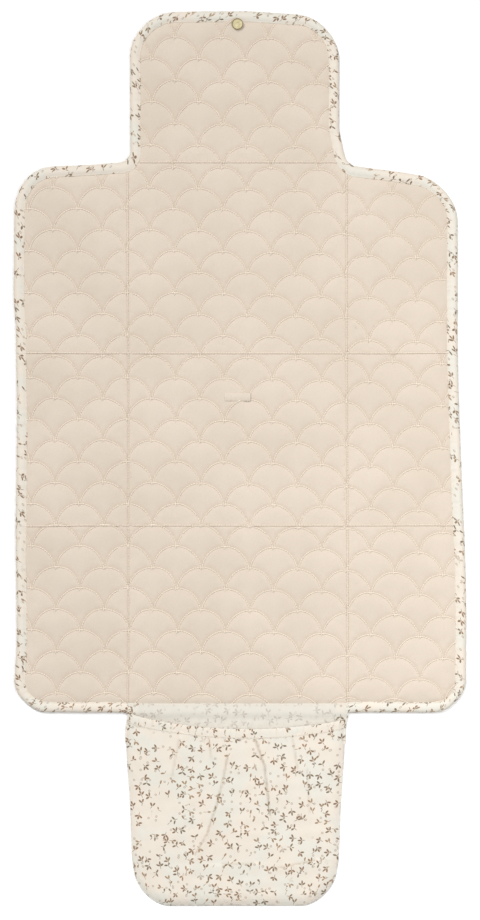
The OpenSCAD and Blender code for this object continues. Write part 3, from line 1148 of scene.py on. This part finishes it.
def binding():
    foot_in = rim_crossing(0, INNER_X)
    foot_out = rim_crossing(0, OUTER_X)
    lower = rim_crossing(1, LOWER_Y)
    upper = rim_crossing(1, UPPER_Y)
    shoulder = rim_crossing(0, OUTER_X, first=False)
    tab_low = rim_crossing(1, TAB_Y)
    tab_high = rim_crossing(1, TAB_Y + ROW_BEND)
    for side, sign in (("right", 1), ("left", -1)):
        rigid = {
            f"{side}_lower": (foot_out, lower - ROW_GAP),
            f"{side}_middle": (lower + ROW_GAP, upper - ROW_GAP),
            f"{side}_upper": (upper + ROW_GAP, shoulder),
        }
        for body, limits in rigid.items():
            piece = binding_piece(body, *on_side(side, *limits))
            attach(piece, body)
            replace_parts(piece, body + "_binding")
        foot = binding_piece(f"{side}_foot_bend", *on_side(side, foot_in, foot_out))
        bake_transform(foot)
        corner = binding_piece(f"{side}_shoulder_bend", *on_side(side, shoulder, tab_low))
        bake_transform(corner)
        hollow = binding_piece(f"{side}_tab_bend", *on_side(side, tab_low, tab_high))
        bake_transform(hollow)
        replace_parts(corner, "centre_upper_binding")
    tab = binding_piece("tab", tab_high, RIM_LENGTH - tab_high)
    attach(tab, "tab")
    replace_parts(tab, "tab_binding")


# ---- The pocket ----

POCKET_END_HALF = 117 * MM
POCKET_R = 40 * MM
POCKET_LOW_Z = 1.0 * MM
POCKET_TOP_Z = 7.7 * MM
# The cut lengths of the pocket's two layers, down the mat.
LINING_TOP = FOOT_Y + BINDING_W - 0.4 * MM
LINING_LOW = POCKET_Y - 34 * MM
PRINT_SIDE = 110.5 * MM
# The mouth is lowest here, and higher by its sag at this reach to either side.
MOUTH_LOW_X = 14 * MM
MOUTH_LOW_Y = -300.4 * MM
MOUTH_SAG = 12 * MM
MOUTH_REACH = 115 * MM
HEM_W = 11 * MM
HEM_RUFFLE = 7.4 * MM
HEM_MAX_Z = 7.95 * MM
HEM_STEPS = 240
HEM_AROUND = 14
HEM_PRINT_AT = 0.7
# Each pleat in mm: its line, how far its slope reaches to one side, and how high it stands.
PLEATS = (
    (((-8, -330), (-12, -352), (-20, -384), (-31, -417), (-44, -440)), 11, 1.8),
    (((23, -312), (33, -341), (39, -395)), 9, 1.7),
    (((90, -447), (45, -456)), 8, 1.3),
    (((20, -450), (-14, -451)), 7, 0.9),
    (((84, -392), (80, -346)), 9, 0.6),
    (((-62, -312), (-70, -352)), 7, 0.8),
    (((64, -308), (70, -345)), 6, 0.7),
    (((-30, -306), (-26, -332)), 6, 0.7),
)


def mouth_y(x):
    """The pocket's mouth, which sags in the middle: where its upper edge is at each place across."""
    return MOUTH_LOW_Y + MOUTH_SAG * ((x - MOUTH_LOW_X) / MOUTH_REACH) ** 2


def pocket_side():
    """The pocket's right side and half of its end, from the top down."""
    corner = arc(POCKET_END_HALF - POCKET_R, POCKET_END_Y + POCKET_R, POCKET_R, 0, -math.pi / 2)
    top = [(POCKET_MOUTH_HALF, FOOT_Y)]
    return np.vstack([top, corner, [(0, POCKET_END_Y)]])


def pocket_rim():
    """The pocket's sides and end, from the top of its right side round to the top of its left."""
    right = resampled(pocket_side(), RIM_STEP)
    return np.vstack([right, right[::-1][1:] * (-1, 1)])


POCKET_RIM = pocket_rim()


def line_gap(xy, line):
    """Distance to a line of points in mm, and which side of it each place is on."""
    nearest = np.full(len(xy), 1.0)
    side = np.zeros(len(xy))
    line = np.array(line) * MM
    for a, b in zip(line, line[1:]):
        ahead = b - a
        share = np.clip((xy - a) @ ahead / (ahead @ ahead), 0, 1)
        off = xy - a - share[:, None] * ahead
        gap = np.hypot(*off.T)
        turn = ahead[0] * off[:, 1] - ahead[1] * off[:, 0]
        side = np.where(gap < nearest, turn, side)
        nearest = np.minimum(nearest, gap)
    return nearest, side


def pocket_height(xy):
    """The top of the pocket's front: pulled in at the seams, gathered at the mouth, creased between."""
    rim = distance_to(POCKET_RIM, xy)
    rise = rounded(rim - 1.2 * MM, 15 * MM)
    below = np.clip(mouth_y(xy[:, 0]) - xy[:, 1], 0, 1)
    gathers = np.sin(math.tau * xy[:, 0] / (8.2 * MM) + 2.2 * smooth_noise(xy, 30 * MM, 31, 6))
    slant = xy[:, 0] + 0.6 * xy[:, 1]
    pucker = np.sin(math.tau * slant / (9 * MM) + 3 * smooth_noise(xy, 40 * MM, 34, 6))
    z = POCKET_LOW_Z + rise * (5.5 * MM - 0.9 * MM * ramp(below, 20 * MM, 90 * MM))
    z = z + rise * 0.5 * MM * smooth_noise(xy, 50 * MM, 32)
    z = z + rise * 0.2 * MM * smooth_noise(xy, 14 * MM, 33, 14)
    z = z + rise * 0.42 * MM * gathers * np.exp(-below / (15 * MM))
    z = z + 0.3 * MM * pucker * rise * np.exp(-rim / (12 * MM))
    for line, width, depth in PLEATS:
        gap, side = line_gap(xy, line)
        fall = np.where(side > 0, np.exp(-gap / (width * MM)), 0.3 * np.exp(-gap / (0.9 * MM)) - 0.3)
        fade = 1 - ramp(gap, 1.2 * width * MM, 3 * width * MM)
        z = z + rise * depth * MM * fall * fade
    return np.clip(z, POCKET_LOW_Z, POCKET_TOP_Z)


def pleat_shade(xy):
    """Darker in the hollow at the foot of each pleat."""
    shade = np.zeros(len(xy))
    for line, _, depth in PLEATS:
        gap, side = line_gap(xy, line)
        reach = np.where(side > 0, 0.8 * MM, 1.7 * MM)
        shade = np.maximum(shade, 0.5 * min(depth, 1.3) * np.exp(-((gap / reach) ** 2)))
    return shade * rounded(distance_to(POCKET_RIM, xy), 20 * MM)


def filled(polygon, step):
    """Triangles that fill one part of the pocket, with inner points about this far apart."""
    return triangulated(polygon, loose_grid(polygon.min(0), polygon.max(0), step, 8))


def pocket_piece(soup, name, materials, *nodes):
    """A finished part of the pocket, which moves with it and stands for these nodes."""
    piece = soup.build(name, materials)
    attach(piece, "pocket")
    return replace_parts(piece, *nodes)


def pocket_front():
    side = POCKET_RIM[(POCKET_RIM[:, 1] < mouth_y(POCKET_RIM[:, 0]))]
    x = np.linspace(side[-1, 0], side[0, 0], 110)[1:-1]
    mouth = np.column_stack([x, mouth_y(x) - HEM_W / 2])
    polygon = closed_sides(np.vstack([side, mouth])[::-1], SEAM_STEP)
    places, faces, loop = filled(polygon, 1.9 * MM)
    soup = Soup()
    top = pocket_height(places)
    slab(soup, places, faces, loop, top, np.maximum(top - 0.8 * MM, 0.3 * MM), pleat_shade(places))
    inner = POCKET_RIM[np.abs(POCKET_RIM[:, 0]) < 60 * MM]
    seam = resampled(inner + (0, 8.6 * MM), 2.9 * MM)
    headings = np.gradient(seam, axis=0)
    stitches(soup, seam, pocket_height(seam) + 0.05 * MM, headings, 2.3 * MM)
    return pocket_piece(soup, "pocket_front_cloth", [PRINT, THREAD], "pocket_front")


def pocket_hem():
    """The gathered casing along the pocket's mouth, which also stands for the elastic inside it."""
    x = np.linspace(-POCKET_MOUTH_HALF + 2 * MM, POCKET_MOUTH_HALF - 2 * MM, HEM_STEPS)
    line = np.column_stack([x, np.zeros(len(x))])
    centre = np.column_stack([x, mouth_y(x) - HEM_W / 2])
    phase = math.tau * x / HEM_RUFFLE + 1.8 * smooth_noise(line, 26 * MM, 41, 6)
    ruffle = np.sin(phase)
    base = pocket_height(centre)
    angles = np.arange(HEM_AROUND) / HEM_AROUND * math.tau
    across = np.cos(angles)[None] * (HEM_W / 2) * (1 + 0.04 * ruffle[:, None])
    frill = 0.35 + 0.65 * np.abs(np.cos(angles))[None]
    lean = 0.55 + 0.45 * np.cos(angles)
    up = np.sin(angles)[None] * 0.7 * MM * (lean * np.sqrt(np.abs(np.sin(angles))))[None]
    up = up + 0.2 * MM * ruffle[:, None] * frill
    rings = np.empty((len(x), HEM_AROUND, 3))
    rings[:, :, 0] = x[:, None] + 0.4 * MM * np.cos(phase)[:, None] * np.sin(angles)[None]
    rings[:, :, 1] = centre[:, 1][:, None] + across
    rings[:, :, 2] = np.clip(base[:, None] + up, 0.9 * MM, HEM_MAX_Z)
    cloth = rings.copy()
    cloth[:, :, 0] = 1.25 * x[:, None]
    cloth[:, :, 1] = rings[:, :, 1] + HEM_PRINT_AT
    soup = Soup()
    sweep(soup, rings[:, ::-1], cloth[:, ::-1])
    spot = np.column_stack([x, centre[:, 1] - HEM_W * 0.36])[::2]
    stitches(soup, spot, pocket_height(spot) + 1.0 * MM, (1, 0), 1.8 * MM)
    return pocket_piece(soup, "pocket_hem_cloth", [PRINT, THREAD], "pocket_hem", "pocket_elastic")


def pocket_back():
    side = POCKET_RIM[POCKET_RIM[:, 1] < POCKET_Y - POCKET_BEND]
    polygon = closed_sides(side[::-1], 3 * MM)
    places, faces, loop = filled(polygon, 6 * MM)
    ripple = 0.12 * MM * smooth_noise(places, 30 * MM, 51)
    soup = Soup()
    slab(soup, places, faces, loop, 0.9 * MM + 0.5 * ripple, np.clip(0.12 * MM + ripple, 0, 1))
    return pocket_piece(soup, "pocket_back_cloth", [PRINT], "pocket_back")


def lining_top(xy):
    """The top of the lining: gathered over the pocket's back, and higher where it lies on the foot."""
    y = xy[:, 1]
    over_foot = ramp(y, POCKET_Y - 7 * MM, POCKET_Y + 2 * MM)
    gathers = np.sin(math.tau * xy[:, 0] / (9.5 * MM) + 2.4 * smooth_noise(xy, 35 * MM, 61, 6))
    z = 1.45 * MM + 1.9 * MM * over_foot
    z = z + 0.3 * MM * gathers * (1 - ramp(y, POCKET_Y - 12 * MM, POCKET_Y + 4 * MM))
    z = z + 0.18 * MM * smooth_noise(xy, 12 * MM, 62, 12)
    return z + 0.96 * MM * ramp(np.abs(xy[:, 0]), 104 * MM, 113 * MM) * over_foot


def pocket_lining():
    """The lining above the pocket's mouth, which is sewn over the quilt's foot and lies across the fold.
    """
    x0 = POCKET_MOUTH_HALF
    corners = [(-x0, LINING_LOW), (x0, LINING_LOW), (x0, LINING_TOP), (-x0, LINING_TOP)]
    places, faces, loop = filled(closed_sides(np.array(corners), SEAM_STEP), 2.6 * MM)
    beyond = ramp(places[:, 1], POCKET_Y - 6 * MM, POCKET_Y - 9 * MM)
    soup = Soup()
    bottom = 0.15 * MM + 0.8 * MM * beyond
    cloth = np.column_stack([places, bottom])
    under = back_cloth(places, True)
    slab(soup, places, faces, loop, lining_top(places), bottom, cloth=cloth, far_cloth=under)
    spot = line_of_points(1, LINING_TOP - 1.6 * MM, -x0 + 2 * MM, x0 - 2 * MM, EDGE_STITCH_PITCH)
    stitches(soup, spot, lining_top(spot) + 0.05 * MM, (1, 0), EDGE_STITCH)
    piece = soup.build("pocket_lining_cloth", [LINING, THREAD, PRINT])
    for face in piece.data.polygons:
        # The mat lies this much further left below its foot, as in PULLS.
        true_x = face.center.x + 2.6 * MM * ramp(face.center.y, FOOT_Y, FOOT_Y - 20 * MM)
        on_side = abs(true_x) > PRINT_SIDE
        if face.material_index == 0 and (on_side or face.normal.z < -0.5):
            face.material_index = 2
    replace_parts(piece, "centre_lower_binding")
    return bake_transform(piece)


def pocket():
    lining = pocket_lining()
    back = pocket_back()
    front = pocket_front()
    hem = pocket_hem()


# ---- The label and the snap ----

def label():
    """A blank woven tape, turned under and stitched down at its two ends."""
    low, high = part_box("label")
    count = 26
    along = np.linspace(0, 1, count)
    soup = Soup()
    x = low.x + along * (high.x - low.x)
    ends = np.exp(-(np.minimum(along, 1 - along) / 0.05) ** 2)
    lift = 0.14 * MM * np.sin(along * math.pi) - 0.2 * MM * ends
    across = np.array([0, 0.06, 0.5, 0.94, 1, 1, 0.5, 0])
    up = np.array([4.8, 5.14, 5.22, 5.14, 4.8, 4.0, 4.0, 4.0]) * MM
    rings = np.empty((count, len(across), 3))
    rings[:, :, 0] = x[:, None]
    rings[:, :, 1] = low.y + across[None] * (high.y - low.y)
    rings[:, :, 2] = up[None] + lift[:, None] * (up[None] > 4.5 * MM)
    sweep(soup, rings, rings)
    for end in (low.x + 1.3 * MM, high.x - 1.3 * MM):
        spots = line_of_points(0, end, low.y + 0.9 * MM, high.y - 0.6 * MM, 1.5 * MM)
        stitches(soup, spots, 5.0 * MM, (0, 1), 1.2 * MM, 0.2 * MM)
    piece = soup.build("label_cloth", [LABEL_TAPE, THREAD], sharp=40)
    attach(piece, "centre_middle")
    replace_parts(piece, "label")


def dress(node, material):
    """Gives a CAD node, which keeps its shape, its material."""
    part = frame["nodes"][node]
    part.data.materials.clear()
    part.data.materials.append(material)


# ---- Floor, light and camera ----

def floor():
    mesh = bpy.data.meshes.new("floor")
    far = 6.0
    mesh.from_pydata([(-far, -far, 0), (far, -far, 0), (far, far, 0), (-far, far, 0)], [], [(0, 1, 2, 3)])
    mesh.materials.append(white_floor())
    made = bpy.data.objects.new("floor", mesh)
    made.location.z = -0.2 * MM
    bpy.context.scene.collection.objects.link(made)


def area_light(name, place, size, power):
    light = bpy.data.lights.new(name, "AREA")
    light.shape = "DISK"
    light.size = size
    light.energy = power
    made = bpy.data.objects.new(name, light)
    made.location = place
    made.rotation_euler = Vector(place).to_track_quat("Z", "Y").to_euler()
    bpy.context.scene.collection.objects.link(made)


SUN_FROM = (-0.55, 0.85, 1.0)
SUN_POWER = 2.15
SUN_SPREAD = math.radians(26)
WORLD_LIGHT = 0.5
FILL_PLACE = (0.8, -0.15, 1.2)
FILL_SIZE = 0.8
FILL_POWER = 9.0
CAMERA_PLACE = (2.8 * MM, -0.5 * MM, 4.0)
SEEN_HEIGHT = 1.0267


def studio():
    scene = bpy.context.scene
    scene.view_settings.view_transform = "Standard"
    world = bpy.data.worlds.new("studio")
    world.use_nodes = True
    world.node_tree.nodes["Background"].inputs["Color"].default_value = (1, 1, 1, 1)
    world.node_tree.nodes["Background"].inputs["Strength"].default_value = WORLD_LIGHT
    scene.world = world
    sun = bpy.data.lights.new("key", "SUN")
    sun.energy = SUN_POWER
    sun.angle = SUN_SPREAD
    key = bpy.data.objects.new("key", sun)
    key.rotation_euler = Vector(SUN_FROM).to_track_quat("Z", "Y").to_euler()
    scene.collection.objects.link(key)
    area_light("fill", FILL_PLACE, FILL_SIZE, FILL_POWER)
    camera = bpy.data.cameras.new("camera")
    camera.sensor_width = 36
    camera.lens = camera.sensor_width * CAMERA_PLACE[2] / SEEN_HEIGHT
    camera.clip_end = 50
    made = bpy.data.objects.new("camera", camera)
    made.location = CAMERA_PLACE
    scene.collection.objects.link(made)
    scene.camera = made


floor()
studio()
quilt()
binding()
pocket()
label()
for node in ("tab_snap_socket", "tab_snap_cap", "back_snap_stud", "back_snap_washer"):
    dress(node, BRASS)
